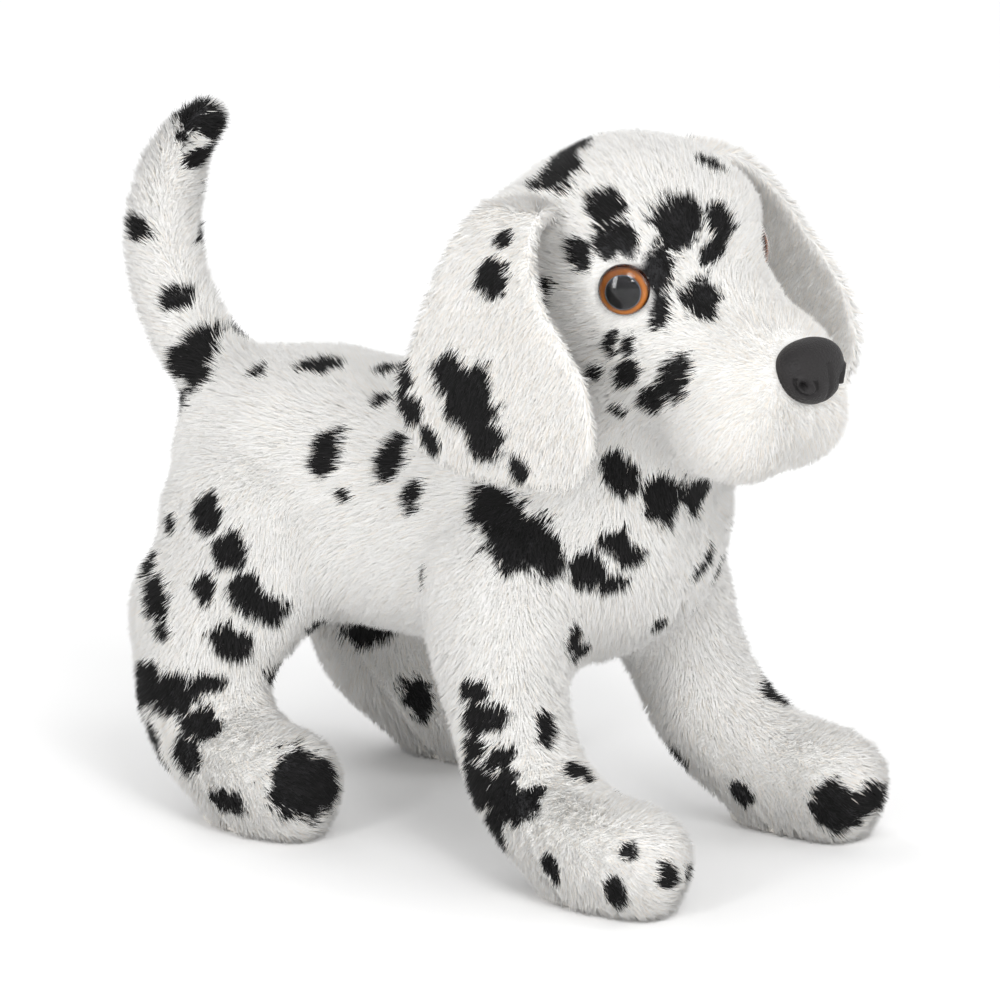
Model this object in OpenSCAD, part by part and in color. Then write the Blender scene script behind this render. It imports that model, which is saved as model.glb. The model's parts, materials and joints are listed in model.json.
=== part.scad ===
// Standing plush dog: a stuffed fabric toy of separate skins and stuffings that swing and turn.
// Millimetres. The dog faces -Y, its left is +X, Z is up and the paw soles stand on Z = 0.
// Each skin is a closed fabric shell, pile included, around its own stuffing.

/* [Body] */
// Width across the middle of the body
body_w = 112; // [90:1:130]
// Height of the back above the floor
back_h = 190; // [160:1:210]
// Height of the belly above the floor
belly_h = 76; // [60:1:90]
// Distance of the rump's end behind the middle of the whole dog
rump_y = 148; // [130:1:160]
// Distance of the chest's front ahead of the middle of the whole dog
chest_y = 119; // [105:1:125]

/* [Head] */
// Width of the head across the cheeks
head_w = 116; // [100:1:126]
// Height of the crown above the floor
crown_h = 311; // [290:1:330]
// Width of the muzzle
muzzle_w = 82; // [70:1:90]
// Distance of the muzzle's front ahead of the middle of the whole dog
muzzle_y = 184; // [176:1:192]
// Height of the flat seam where head and body meet
neck_h = 196; // [190:1:202]
// Distance of the neck's turning line ahead of the middle of the whole dog
neck_y = 72; // [66:1:76]

/* [Ears] */
// Length that an ear hangs below its hinge
ear_len = 109; // [95:1:112]
// Widest part of an ear
ear_w = 104; // [80:1:108]
// How far an ear stands out from its hinge
ear_out = 43; // [36:1:46]
// Thickness of an ear's outer panel and of its lining, each
ear_panel = 6.5; // [4:0.5:8]

/* [Legs] */
// Thickness of a front leg across its middle
leg_w = 53; // [44:1:56]
// Distance of each paw's centre from the middle plane
paw_x = 70; // [60:1:76]
// Width of a paw
paw_w = 54; // [46:1:58]
// Height of a paw
paw_h = 51; // [44:1:56]
// Distance of the shoulder hinge ahead of the middle of the whole dog
shoulder_y = 50; // [45:1:55]
// Height of the shoulder hinge
shoulder_z = 125; // [115:1:130]
// Distance of the hip hinge behind the middle of the whole dog
hip_y = 80; // [74:1:86]
// Height of the hip hinge
hip_z = 130; // [120:1:135]
// How much further ahead the left front knee is set; that leg's paw stands half as much further back
ahead = 9; // [0:1:10]
// Thickness of a paw's sole panel
sole_t = 3; // [2:0.5:5]

/* [Tail] */
// Thickness of the tail at its middle
tail_w = 37; // [28:1:38]
// Height of the tail's tip
tail_h = 299; // [270:1:320]

/* [Face] */
// Diameter of an eye
eye_d = 22; // [18:0.5:26]
// Width of the nose
nose_w = 34; // [28:0.5:36]
// Height of the nose
nose_hh = 27; // [22:0.5:28]
// Radius of the shanks behind the eyes and the nose
shank_r = 3; // [2:0.25:4]

/* [Fabric] */
// Thickness of the fabric with its pile
wall = 6; // [4:0.5:8]
// Gap between a skin and what it holds
gap = 0.4; // [0.3:0.1:1]
// Gap between pieces that move against each other
play = 0.7; // [0.5:0.1:1.5]

/* [Hidden] */
white = [0.93, 0.92, 0.90];
wool = [0.97, 0.97, 0.96];
cream = [0.93, 0.88, 0.84];
coal = [0.13, 0.12, 0.12];
amber = [0.62, 0.29, 0.08];
clear = [0.85, 0.90, 0.95, 0.5];
mould = [0.80, 0.80, 0.78];
root_x = 26;                 // inner side of a leg's root
tail_root = [0, 128, 165];   // centre of the ball at the tail's root
ear_root = [47, -70, 284];   // middle of an ear's hinge line
eye_at = [44, -113, 257];    // where an eye's back plate meets the fabric
eye_turn = 58;               // how far an eye looks out to its side, degrees from straight ahead
nose_at = [0, -171, 223];    // middle of the nose's back

// ---- rounded forms drawn through stations ----
// A station is [x, y, z, half width, half height]. The curve passes through every station.
function knot(a, b, c, d, t) = 0.5 * (2 * b + (c - a) * t
  + (2 * a - 5 * b + 4 * c - d) * t * t + (3 * b - a - 3 * c + d) * t * t * t);
function along(s, u) = let (n = len(s) - 1, i = min(floor(u * n), n - 1))
  knot(s[max(i - 1, 0)], s[i], s[i + 1], s[min(i + 2, n)], u * n - i);
function head3(p) = [p[0], p[1], p[2]];
function unit(v) = v / norm(v);
function heading(s, u) = unit(head3(along(s, min(u + 0.01, 1)) - along(s, max(u - 0.01, 0))));
function full(c, q) = sign(c) * pow(abs(c), 2 / q);
// One ring of points: c its centre, t the way ahead, w the line its width lies along,
// q how square it is: 2 is an ellipse.
function ring(c, t, a, b, n, w, q) = let (x = unit(w - t * (t * w)), v = cross(t, x))
  [for (k = [0:n - 1]) c + x * a * full(cos(360 * k / n), q) + v * b * full(sin(360 * k / n), q)];
function cap_rings(p, t, g, len, n, w, q, dir, steps) = [for (j = [1:steps - 1])
  let (f = dir < 0 ? 90 * j / steps : 90 * (steps - j) / steps)
  ring(head3(p) + t * dir * len * cos(f), t, (p[3] + g) * sin(f), (p[4] + g) * sin(f), n, w, q)];

// A closed form through stations s with rounded ends; grow makes it larger or smaller all round.
module form(s, cap0, cap1, grow = 0, n = 28, m = 14, steps = 4, w = [1, 0, 0], q = 2) {
  t0 = heading(s, 0);
  t1 = heading(s, 1);
  first = along(s, 0);
  last = along(s, 1);
  body = [for (k = [0:m]) let (p = along(s, k / m))
    ring(head3(p), heading(s, k / m), p[3] + grow, p[4] + grow, n, w, q)];
  rings = concat(cap_rings(first, t0, grow, cap0 + grow, n, w, q, -1, steps), body,
    cap_rings(last, t1, grow, cap1 + grow, n, w, q, 1, steps));
  r = len(rings);
  pts = concat([for (g = rings) each g],
    [head3(first) - t0 * (cap0 + grow), head3(last) + t1 * (cap1 + grow)]);
  sides = [for (i = [0:r - 2], k = [0:n - 1]) let (j = (k + 1) % n)
    each [[i * n + k, (i + 1) * n + j, i * n + j], [i * n + k, (i + 1) * n + k, (i + 1) * n + j]]];
  start = [for (k = [0:n - 1]) [r * n, k, (k + 1) % n]];
  finish = [for (k = [0:n - 1]) [r * n + 1, (r - 1) * n + (k + 1) % n, (r - 1) * n + k]];
  polyhedron(points = pts, faces = concat(sides, start, finish), convexity = 6);
}

// ---- stations of each form ----
mid_z = (back_h + belly_h) / 2;
half_h = (back_h - belly_h) / 2;
half_w = body_w / 2;
torso_s = [
  [0, rump_y - 36, mid_z + 3, half_w * 0.84, half_h * 0.88],
  [0, rump_y - 62, mid_z + 1, half_w * 0.98, half_h * 0.99],
  [0, 46, mid_z, half_w, half_h * 0.99],
  [0, 0, mid_z, half_w * 0.95, half_h],
  [0, -40, mid_z + 8, half_w * 0.96, half_h * 1.11],
  [0, -72, mid_z + 18, half_w * 0.95, half_h * 1.25],
  [0, -chest_y + 24, mid_z + 23, half_w * 0.82, half_h * 1.07]];

crown_r = 63;
cz = crown_h - crown_r;
hw = head_w / 2;
mw = muzzle_w / 2;
head_s = [
  [0, -42, cz + 2, hw * 0.76, crown_r * 0.79],
  [0, -60, cz, hw * 0.93, crown_r * 0.95],
  [0, -80, cz, hw, crown_r],
  [0, -98, cz - 3, hw * 0.96, crown_r * 0.985],
  [0, -112, cz - 9, hw * 0.81, crown_r * 0.905],
  [0, -124, cz - 17, mw * 1.05, crown_r * 0.81],
  [0, -138, cz - 28, mw * 1.01, crown_r * 0.71],
  [0, -150, cz - 36, mw, crown_r * 0.60],
  [0, 24 - muzzle_y, cz - 41, mw * 0.91, crown_r * 0.52]];

// k sets a front leg's knee further ahead and its paw half as much further back
function front_leg_s(s, k) = [
  [s * 50, -shoulder_y, shoulder_z, 24, 36],
  [s * 53, -shoulder_y - 4 - k / 2, shoulder_z - 26, 26.5, 35],
  [s * 55, -shoulder_y - 11 - k, 72, leg_w / 2, leg_w / 2 + 1],
  [s * 59, -shoulder_y - 23 - k, 47, leg_w / 2 + 1, leg_w / 2 + 1],
  [s * 65, -shoulder_y - 43 - k / 2, 31, paw_w / 2, paw_h / 2 + 2],
  [s * paw_x, -117 + k / 2, paw_h - 27, paw_w / 2, paw_h / 2 + 2],
  [s * paw_x, -142 + k / 2, paw_h - 28, paw_w / 2 - 1, paw_h / 2 + 1]];

function hind_leg_s(s) = [
  [s * 49, hip_y + 2, hip_z, 22.5, 44],
  [s * 51, hip_y + 6, hip_z - 30, 24.5, 42],
  [s * 55, hip_y + 20, 72, 28, 33],
  [s * 60, hip_y + 20, 46, 27, 29],
  [s * 65, hip_y + 2, 30, paw_w / 2, paw_h / 2 + 2],
  [s * paw_x, 60, paw_h - 27, paw_w / 2, paw_h / 2 + 2],
  [s * paw_x, 43, paw_h - 28, paw_w / 2 - 1, paw_h / 2 + 1]];

tr = tail_w / 2;
tail_s = [
  [0, tail_root[1], tail_root[2], 18.5, 18.5],
  [0, tail_root[1] + 19, tail_root[2] + 15, tr * 1.06, tr * 1.06],
  [0, 163, 205, tr * 1.02, tr * 1.02],
  [0, 167, 232, tr, tr],
  [0, 159, 262, tr * 0.86, tr * 0.86],
  [0, 142, tail_h - 16, tr * 0.66, tr * 0.66]];

// e moves an ear's stations along its thickness
function ear_s(s, e) = let (x = ear_root[0], y = ear_root[1], z = ear_root[2],
    h = ear_panel / 2, w = ear_w / 2, o = ear_out) [
  [s * x, y, z + e, w * 0.34, h],
  [s * (x + o * 0.45 + e * 0.2), y - 1, z + 3 + e, w * 0.38, h],
  [s * (x + o * 0.83 + e * 0.8), y - 3, z - 12 + e * 0.6, w * 0.50, h],
  [s * (x + o * 0.98 + e), y - 6, z - 34, w * 0.71, h],
  [s * (x + o + e), y - 9, z - 58, w * 0.93, h],
  [s * (x + o + e), y - 9, z - 78, w, h],
  [s * (x + o * 0.92 + e), y - 8, z - ear_len + 14, w * 0.86, h]];

// ---- cutting shapes ----
module below(z) translate([-200, -300, -60]) cube([400, 600, z + 60]);

// room for one leg in the body's side: g is the extra all round
module leg_room(s, y, z, r, fore, aft, g) translate([s > 0 ? root_x - play - g : -120, 0, 0])
  rotate([90, 0, 90]) union() {
    translate([y, z, 0]) cylinder(r = r + play + g, h = 120 - root_x + play + g, $fn = 96);
    linear_extrude(120 - root_x + play + g)
      polygon([[y - r - play - g, z], [y - fore - g, 40], [y + aft + g, 40], [y + r + play + g, z]]);
  }
module leg_rooms(g) {
  for (s = [-1, 1]) {
    leg_room(s, -shoulder_y, shoulder_z, 39, 85, 44, g);
    leg_room(s, hip_y, hip_z, 45.5, 48, 80, g);
  }
}
module tail_room(g) translate(tail_root) {
  sphere(r = 23.5 + g, $fn = 96);
  cylinder(r = 23.5 + g, h = 60, $fn = 96);
}
module above_neck(g) translate([-100, -200, neck_h - g]) cube([200, 250, 120]);
module ear_groove(s, g) translate([s * ear_root[0], ear_root[1], ear_root[2]]) rotate([90, 0, 0])
  cylinder(r = 13 + g, h = 60 + 2 * g, center = true, $fn = 64);
module at_eye(s) translate([s * eye_at[0], eye_at[1], eye_at[2]]) rotate([0, 0, s * eye_turn])
  rotate([90, 0, 0]) children();
module at_nose() translate(nose_at) rotate([90, 0, 0]) children();

// ---- body ----
module torso_skin() color(white) difference() {
  form(torso_s, 36, 24, 0, 32, 18, q = 2.15);
  leg_rooms(0);
  tail_room(0);
  above_neck(0);
  difference() {
    form(torso_s, 36, 24, -wall, 20, 12, 3, q = 2.15);
    leg_rooms(wall);
    tail_room(wall);
    above_neck(wall);
  }
}
module torso_stuffing() color(wool) difference() {
  form(torso_s, 36, 24, -wall - gap, 20, 12, 3, q = 2.15);
  leg_rooms(wall + gap);
  tail_room(wall + gap);
  above_neck(wall + gap);
}

// ---- head ----
module neck_room(g) translate([0, -neck_y, 60]) cylinder(r = 50 + g, h = neck_h + play - 60 + g, $fn = 96);
module head_skin() color(white) difference() {
  form(head_s, 19, 24, 0, 32, 20, q = 2.3);
  neck_room(0);
  for (s = [-1, 1]) {
    ear_groove(s, 0);
    at_eye(s) translate([0, 0, -3]) cylinder(r = eye_d / 2 + 0.4, h = 20, $fn = 64);
    at_eye(s) translate([0, 0, -20]) cylinder(r = shank_r + 0.3, h = 30, $fn = 32);
  }
  at_nose() linear_extrude(30) polygon(oval(nose_w / 2 + 0.8, nose_hh / 2 + 0.8, 32));
  at_nose() translate([0, 0, -20]) cylinder(r = shank_r + 0.3, h = 30, $fn = 32);
  difference() {
    form(head_s, 19, 24, -wall, 20, 14, 3, q = 2.3);
    neck_room(wall);
    for (s = [-1, 1]) ear_groove(s, wall);
    for (s = [-1, 1]) at_eye(s) translate([0, 0, -3 - wall]) cylinder(r = eye_d / 2 + 2, h = 30, $fn = 48);
    at_nose() translate([0, 0, -wall]) cylinder(r = nose_w / 2 + 4, h = 30, $fn = 48);
  }
}
module head_stuffing() color(wool) difference() {
  form(head_s, 19, 24, -wall - gap, 20, 14, 3, q = 2.3);
  neck_room(wall + gap);
  for (s = [-1, 1]) ear_groove(s, wall + gap);
  for (s = [-1, 1]) at_eye(s) translate([0, 0, -17]) cylinder(r = eye_d / 2 + 2.4, h = 40, $fn = 48);
  at_nose() translate([0, 0, -16]) cylinder(r = nose_w / 2 + 4.4, h = 40, $fn = 48);
}

// ---- ears: an outer panel and a lining, sewn along their rim ----
module ear_panel_form(s, e, c) form(ear_s(s, e), c, 14, 0, 22, 12, 3, [0, 1, 0]);
module ear_outer(s) color(white) ear_panel_form(s, (ear_panel + gap) / 2, 3);
module ear_lining(s) color(cream) ear_panel_form(s, -(ear_panel + gap) / 2, 3);

// ---- eyes and nose: moulded, each on a shank with a washer behind the fabric ----
module eye_dome(s) color(clear) at_eye(s) rotate_extrude($fn = 64)
  polygon(concat([[0, 0], [eye_d / 2, 0]], [for (a = [0:9:81]) [eye_d / 2 * cos(a), 0.8 + 6.2 * sin(a)]], [[0, 7]]));
module eye_iris(s) color(amber) at_eye(s) translate([0, 0, -0.2 - 2.4]) {
  cylinder(r = eye_d / 2, h = 2.4, $fn = 64);
  translate([0, 0, -11]) cylinder(r = shank_r, h = 12, $fn = 32);
}
module washer(r) difference() {
  cylinder(r = r, h = 1.8, $fn = 48);
  translate([0, 0, -1]) cylinder(r = shank_r + 0.05, h = 4, $fn = 32);
}
module eye_washer(s) color(mould) at_eye(s) translate([0, 0, -12]) washer(eye_d / 2 - 1.5);
function oval(a, b, n) = [for (k = [0:n - 1]) [a * cos(360 * k / n), b * sin(360 * k / n)]];
module nose() color(coal) {
  form([[0, nose_at[1] - 0.3, nose_at[2], nose_w / 2 - 0.5, nose_hh / 2 - 0.5],
    [0, nose_at[1] - 5, nose_at[2], nose_w / 2, nose_hh / 2],
    [0, nose_at[1] - 9, nose_at[2] + 0.5, nose_w * 0.42, nose_hh * 0.40]], 0.2, 4, 0, 28, 4);
  at_nose() translate([0, 0, -13]) cylinder(r = shank_r, h = 15, $fn = 32);
}
module nose_washer() color(mould) at_nose() translate([0, 0, -11]) washer(10);

// ---- legs ----
module leg_skin(p, cap0, cap1) color(white) difference() {
  form(p, cap0, cap1, 0, 26, 14);
  below(sole_t + gap);
  difference() {
    form(p, cap0, cap1, -wall, 16, 10, 3);
    below(sole_t + gap + wall);
  }
}
module leg_stuffing(p, cap0, cap1) color(wool) difference() {
  form(p, cap0, cap1, -wall - gap, 16, 10, 3);
  below(sole_t + 2 * gap + wall);
}
module sole(s, y) color(cream) translate([s * (paw_x - 1), y, 0])
  linear_extrude(sole_t) polygon(oval(16, 38, 48));
module front_skin(s, k) leg_skin(front_leg_s(s, k), 26, 26);
module front_stuffing(s, k) leg_stuffing(front_leg_s(s, k), 26, 26);
module hind_skin(s) leg_skin(hind_leg_s(s), 30, 26);
module hind_stuffing(s) leg_stuffing(hind_leg_s(s), 30, 26);

// ---- tail ----
module tail_skin() color(white) difference() {
  form(tail_s, 18, 12, 0, 24, 16);
  form(tail_s, 18, 12, -wall, 16, 12, 3);
}
module tail_stuffing() color(wool) form(tail_s, 18, 12, -wall - gap, 16, 12, 3);

torso_skin();
torso_stuffing();
head_skin();
head_stuffing();
ear_outer(1);  // ear_left_outer
ear_lining(1);  // ear_left_lining
ear_outer(-1);  // ear_right_outer
ear_lining(-1);  // ear_right_lining
eye_dome(1);  // eye_left_dome
eye_iris(1);  // eye_left_iris
eye_washer(1);  // eye_left_washer
eye_dome(-1);  // eye_right_dome
eye_iris(-1);  // eye_right_iris
eye_washer(-1);  // eye_right_washer
nose();
nose_washer();
front_skin(1, ahead);  // leg_front_left_skin
front_stuffing(1, ahead);  // leg_front_left_stuffing
sole(1, -117 + ahead / 2);  // leg_front_left_sole
front_skin(-1, 0);  // leg_front_right_skin
front_stuffing(-1, 0);  // leg_front_right_stuffing
sole(-1, -117);  // leg_front_right_sole
hind_skin(1);  // leg_hind_left_skin
hind_stuffing(1);  // leg_hind_left_stuffing
sole(1, 66);  // leg_hind_left_sole
hind_skin(-1);  // leg_hind_right_skin
hind_stuffing(-1);  // leg_hind_right_stuffing
sole(-1, 66);  // leg_hind_right_sole
tail_skin();
tail_stuffing();
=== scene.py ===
# %% [markdown]
# # A standing plush puppy
# A stuffed toy is two things: sewn fabric forms filled with fibre, and the pile that covers them.
# This notebook rounds the plain frame forms into one soft skin, grows a real pile of small tapered
# tufts on it, prints the spots by choosing which tufts are black, and sets in moulded eyes and a nose.
# The torso and head pieces are tied to their frame bodies; the other soft pieces stay where they are built, without
# bending.

# %% Load the frame
import json
import math
import bpy
import bmesh
import numpy as np
from mathutils import Matrix, Vector
from mathutils.bvhtree import BVHTree
from mathutils.kdtree import KDTree


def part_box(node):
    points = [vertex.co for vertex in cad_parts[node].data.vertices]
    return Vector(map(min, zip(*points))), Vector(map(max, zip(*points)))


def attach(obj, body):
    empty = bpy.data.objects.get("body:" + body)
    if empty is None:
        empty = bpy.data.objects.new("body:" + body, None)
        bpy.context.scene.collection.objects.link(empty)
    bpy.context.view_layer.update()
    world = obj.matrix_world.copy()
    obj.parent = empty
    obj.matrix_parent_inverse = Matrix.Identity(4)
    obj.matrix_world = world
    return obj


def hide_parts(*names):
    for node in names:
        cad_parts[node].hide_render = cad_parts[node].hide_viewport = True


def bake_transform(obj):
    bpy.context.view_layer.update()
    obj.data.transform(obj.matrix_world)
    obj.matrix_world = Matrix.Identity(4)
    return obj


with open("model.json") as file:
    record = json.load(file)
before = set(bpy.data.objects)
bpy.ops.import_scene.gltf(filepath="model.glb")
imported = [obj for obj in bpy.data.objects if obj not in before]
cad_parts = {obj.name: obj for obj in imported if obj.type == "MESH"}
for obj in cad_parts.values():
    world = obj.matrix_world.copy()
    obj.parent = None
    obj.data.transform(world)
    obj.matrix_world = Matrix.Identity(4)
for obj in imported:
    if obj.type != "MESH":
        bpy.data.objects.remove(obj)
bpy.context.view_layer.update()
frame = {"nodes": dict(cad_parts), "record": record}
MM = 0.001
rng = np.random.default_rng(17)

# %% [markdown]
# ## The camera first
# The toy is seen from in front of its right side, a little from above. A long lens far away keeps
# near and far paws the same size, which suits a product picture.

# %% Camera
AROUND, ABOVE = math.radians(52), math.radians(15.5)
sight = Vector((math.sin(AROUND) * math.cos(ABOVE), math.cos(AROUND) * math.cos(ABOVE), -math.sin(ABOVE)))
aim = Vector((0.0235, 0.0045, 0.1324))
FAR = 8.0
camera = bpy.data.objects.new("camera", bpy.data.cameras.new("camera"))
camera.location = aim - sight * FAR
camera.rotation_euler = sight.to_track_quat("-Z", "Y").to_euler()
camera.data.sensor_width = 36
camera.data.lens = 36 * FAR / 0.420
camera.data.clip_end = 30
bpy.context.scene.collection.objects.link(camera)
bpy.context.scene.camera = camera

# %% [markdown]
# ## A pale studio
# White fur shows its form only by gentle shade, so the lights are large and soft, with the key from
# the front and above. The floor is a plain pale sheet and the world adds an even fill.

# %% Floor, world and lights
def pale_finish(name, tone, rough):
    material = bpy.data.materials.new(name)
    material.use_nodes = True
    surface = material.node_tree.nodes["Principled BSDF"]
    surface.inputs["Base Color"].default_value = (*tone, 1)
    surface.inputs["Roughness"].default_value = rough
    return material

def lamp(name, place, towards, size, watts, tall=None):
    light = bpy.data.lights.new(name, "AREA")
    light.shape, light.size, light.energy = "RECTANGLE" if tall else "DISK", size, watts
    light.size_y = tall or size
    holder = bpy.data.objects.new(name, light)
    holder.location = place
    holder.rotation_euler = (Vector(towards) - Vector(place)).to_track_quat("-Z", "Y").to_euler()
    bpy.context.scene.collection.objects.link(holder)
    return holder

floor_mesh = bpy.data.meshes.new("floor")
floor_mesh.from_pydata([(-8, -8, 0), (8, -8, 0), (8, 8, 0), (-8, 8, 0)], [], [(0, 1, 2, 3)])
floor = bpy.data.objects.new("floor", floor_mesh)
bpy.context.scene.collection.objects.link(floor)
floor_mesh.materials.append(pale_finish("floor", (0.88, 0.88, 0.88), 0.9))
world = bpy.data.worlds.new("studio")
world.use_nodes = True
world.node_tree.nodes["Background"].inputs["Color"].default_value = (1, 1, 1, 1)
world.node_tree.nodes["Background"].inputs["Strength"].default_value = 0.86
bpy.context.scene.world = world
bpy.context.scene.view_settings.view_transform = "Standard"
lamp("key", (-1.5, -2.2, 2.4), (0, -0.05, 0.15), 1.5, 38)
lamp("fill", (1.6, -2.4, 1.2), (0, -0.05, 0.15), 1.8, 14)
lamp("rim", (0.6, 2.2, 2.3), (0, 0, 0.15), 1.4, 16)
lamp("glint", (-1.25, -1.82, 0.95), (-0.04, -0.11, 0.257), 0.28, 6)
lamp("window", (-2.4, -0.3, 0.85), (0, 0, 0.13), 0.5, 20, 1.5)

# %% [markdown]
# ## Small helpers for shapes
# Soft forms are easiest to handle as arrays: every corner of a mesh at once. These helpers make an
# object from arrays, read one back, and bake modifiers such as Remesh and Smooth into the mesh.

# %% Shape helpers
def make(name, verts, faces, smooth=True):
    mesh = bpy.data.meshes.new(name)
    mesh.from_pydata([tuple(map(float, v)) for v in verts], [], [tuple(map(int, f)) for f in faces])
    mesh.validate()
    if smooth:
        mesh.shade_smooth()
    thing = bpy.data.objects.new(name, mesh)
    bpy.context.scene.collection.objects.link(thing)
    return thing

def corners(mesh):
    co = np.empty(len(mesh.vertices) * 3, np.float32)
    mesh.vertices.foreach_get("co", co)
    return co.reshape(-1, 3).astype(float)

def normals(mesh):
    out = np.empty(len(mesh.vertices) * 3, np.float32)
    mesh.vertex_normals.foreach_get("vector", out)
    return out.reshape(-1, 3).astype(float)

def put(mesh, co):
    mesh.vertices.foreach_set("co", np.ascontiguousarray(co, np.float32).ravel())
    mesh.update()

def unit(v):
    return v / np.maximum(np.linalg.norm(v, axis=-1, keepdims=True), 1e-9)

def shaped(thing, *steps):
    """Applies modifiers in order; each step is (type, {setting: value})."""
    for kind, settings in steps:
        modifier = thing.modifiers.new(kind, kind)
        for key, value in settings.items():
            setattr(modifier, key, value)
    ready = thing.evaluated_get(bpy.context.evaluated_depsgraph_get())
    mesh = bpy.data.meshes.new_from_object(ready)
    thing.modifiers.clear()
    old, thing.data = thing.data, mesh
    bpy.data.meshes.remove(old)
    return thing

def swell(thing, by):
    put(thing.data, corners(thing.data) + normals(thing.data) * by * MM)
    return thing

def joined(name, things):
    verts, faces, n = [], [], 0
    for thing in things:
        co = corners(thing.data)
        verts.append(co)
        faces += [tuple(n + i for i in p.vertices) for p in thing.data.polygons]
        n += len(co)
        bpy.data.objects.remove(thing)
    return make(name, np.concatenate(verts), faces)

def loft(name, stations, cap0, cap1, square=2.0, round_=40, steps=6):
    """A rounded form through stations (x, y, z, half width, half height) in mm, running along Y."""
    s = np.array(stations, float)
    u = np.linspace(0, len(s) - 1, 6 * (len(s) - 1) + 1)
    i = np.minimum(u.astype(int), len(s) - 2)
    t = (u - i)[:, None]
    a, b, c, d = s[np.maximum(i - 1, 0)], s[i], s[i + 1], s[np.minimum(i + 2, len(s) - 1)]
    path = 0.5 * (2 * b + (c - a) * t + (2 * a - 5 * b + 4 * c - d) * t ** 2 + (3 * b - a - 3 * c + d) * t ** 3)
    ahead = np.sign(s[-1, 1] - s[0, 1])
    rows = []
    for end, cap, way in ((path[0], cap0, -1), (path[-1], cap1, 1)):
        angles = np.linspace(0, math.pi / 2, steps + 1)[1:-1]
        rows.append([[end[0], end[1] + way * ahead * cap * math.cos(q), end[2], end[3] * math.sin(q),
                      end[4] * math.sin(q)] for q in (angles if way < 0 else angles[::-1])])
    rings = np.array(rows[0] + path.tolist() + rows[1])
    q = np.linspace(0, 2 * math.pi, round_, endpoint=False)
    cx, sz = (np.sign(f) * np.abs(f) ** (2 / square) for f in (np.cos(q), np.sin(q)))
    co = np.stack([rings[:, 0:1] + rings[:, 3:4] * cx, rings[:, 1:2] + 0 * cx,
                   rings[:, 2:3] + rings[:, 4:5] * sz], -1).reshape(-1, 3)
    r = len(rings)
    faces = [(k + m * round_, (k + 1) % round_ + m * round_, (k + 1) % round_ + (m + 1) * round_,
              k + (m + 1) * round_) for m in range(r - 1) for k in range(round_)]
    ends = [[path[0][0], path[0][1] - ahead * cap0, path[0][2]],
            [path[-1][0], path[-1][1] + ahead * cap1, path[-1][2]]]
    co = np.concatenate([co, ends])
    faces += [(r * round_, (k + 1) % round_, k) for k in range(round_)]
    faces += [(r * round_ + 1, (r - 1) * round_ + k, (r - 1) * round_ + (k + 1) % round_) for k in range(round_)]
    thing = make(name, co * MM, faces)
    work = bmesh.new()
    work.from_mesh(thing.data)
    bmesh.ops.recalc_face_normals(work, faces=work.faces)
    work.to_mesh(thing.data)
    work.free()
    return thing

def outside_of(node, name):
    """A copy of a frame node's outer surface, without the hollow inside it."""
    work = bmesh.new()
    work.from_mesh(frame["nodes"][node].data)
    bmesh.ops.remove_doubles(work, verts=work.verts, dist=2e-6)
    seen, best = set(), []
    for start in work.verts:
        if start in seen:
            continue
        stack, island = [start], []
        seen.add(start)
        while stack:
            v = stack.pop()
            island.append(v)
            for e in v.link_edges:
                w = e.other_vert(v)
                if w not in seen:
                    seen.add(w)
                    stack.append(w)
        span = lambda vs: np.ptp(np.array([v.co for v in vs]), axis=0).sum()
        if not best or span(island) > span(best):
            best = island
    keep = set(best)
    bmesh.ops.delete(work, geom=[v for v in work.verts if v not in keep], context="VERTS")
    mesh = bpy.data.meshes.new(name)
    work.to_mesh(mesh)
    work.free()
    thing = bpy.data.objects.new(name, mesh)
    bpy.context.scene.collection.objects.link(thing)
    return thing

# %% [markdown]
# ## One soft skin from the frame's plain forms
# The sewn toy is smooth where leg meets body, so the frame's outer forms are joined, swollen a few
# millimetres, melted together with a voxel remesh and shrunk back. That fills the creases the way
# stuffing does. The skin is then set under the frame's surface by the height that the pile takes up.

# %% The body, legs, head and tail as one skin
PILE_DEPTH = 5.2
JOINTS = {j["child"]: Vector(j["pos_m"]) / MM for j in frame["record"]["behaviour"]["joints"]}
EYE_TURN = math.radians(58)          # how far each eye looks to its own side
def eye_middle(side):
    """The middle of an eye's rim, from the box of its dome."""
    low, high = (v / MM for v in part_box(f"eye_{side}_dome"))
    s, radius = (1 if side == "left" else -1), (high.z - low.z) / 2
    inner = min(abs(low.x), abs(high.x)) + radius * math.cos(EYE_TURN)
    return Vector((s * inner, high.y - radius * math.sin(EYE_TURN), (low.z + high.z) / 2))
EYES = {side: eye_middle(side) for side in ("left", "right")}
EYE_OUT = {side: Vector((s * math.sin(EYE_TURN), -math.cos(EYE_TURN), 0))
           for side, s in (("left", 1), ("right", -1))}
nose_low, nose_high = (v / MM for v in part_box("nose"))
# the middle of the nose piece
NOSE = Vector((0, nose_low.y + 8.2, (nose_low.z + nose_high.z) / 2 + 0.5))
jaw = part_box("head_skin")[0] / MM
LEGS = [f"leg_{end}_{side}" for end in ("front", "hind") for side in ("left", "right")]
low, high = (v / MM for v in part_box("torso_skin"))
spine = (low.z + high.z) / 2
def station(share, rise, half_width, half_height):
    """A cross-section of the trunk, at a share of its length from the chest."""
    return (0, low.y + share * (high.y - low.y), spine + rise, half_width, half_height)
trunk = loft("trunk", [
    station(0.874, 1, 47, 50), station(0.770, -1, 55, 57), station(0.622, -2, 56, 57),
    station(0.451, -2, 53.5, 57.5), station(0.303, 6, 54, 64), station(0.184, 15, 53.5, 71), station(0.093, 21, 46, 62)], 34, 25, 2.15)
parts = {"torso": [trunk], "head": [outside_of("head_skin", "head form")],
         "tail": [outside_of("tail_skin", "tail form")]}
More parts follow.
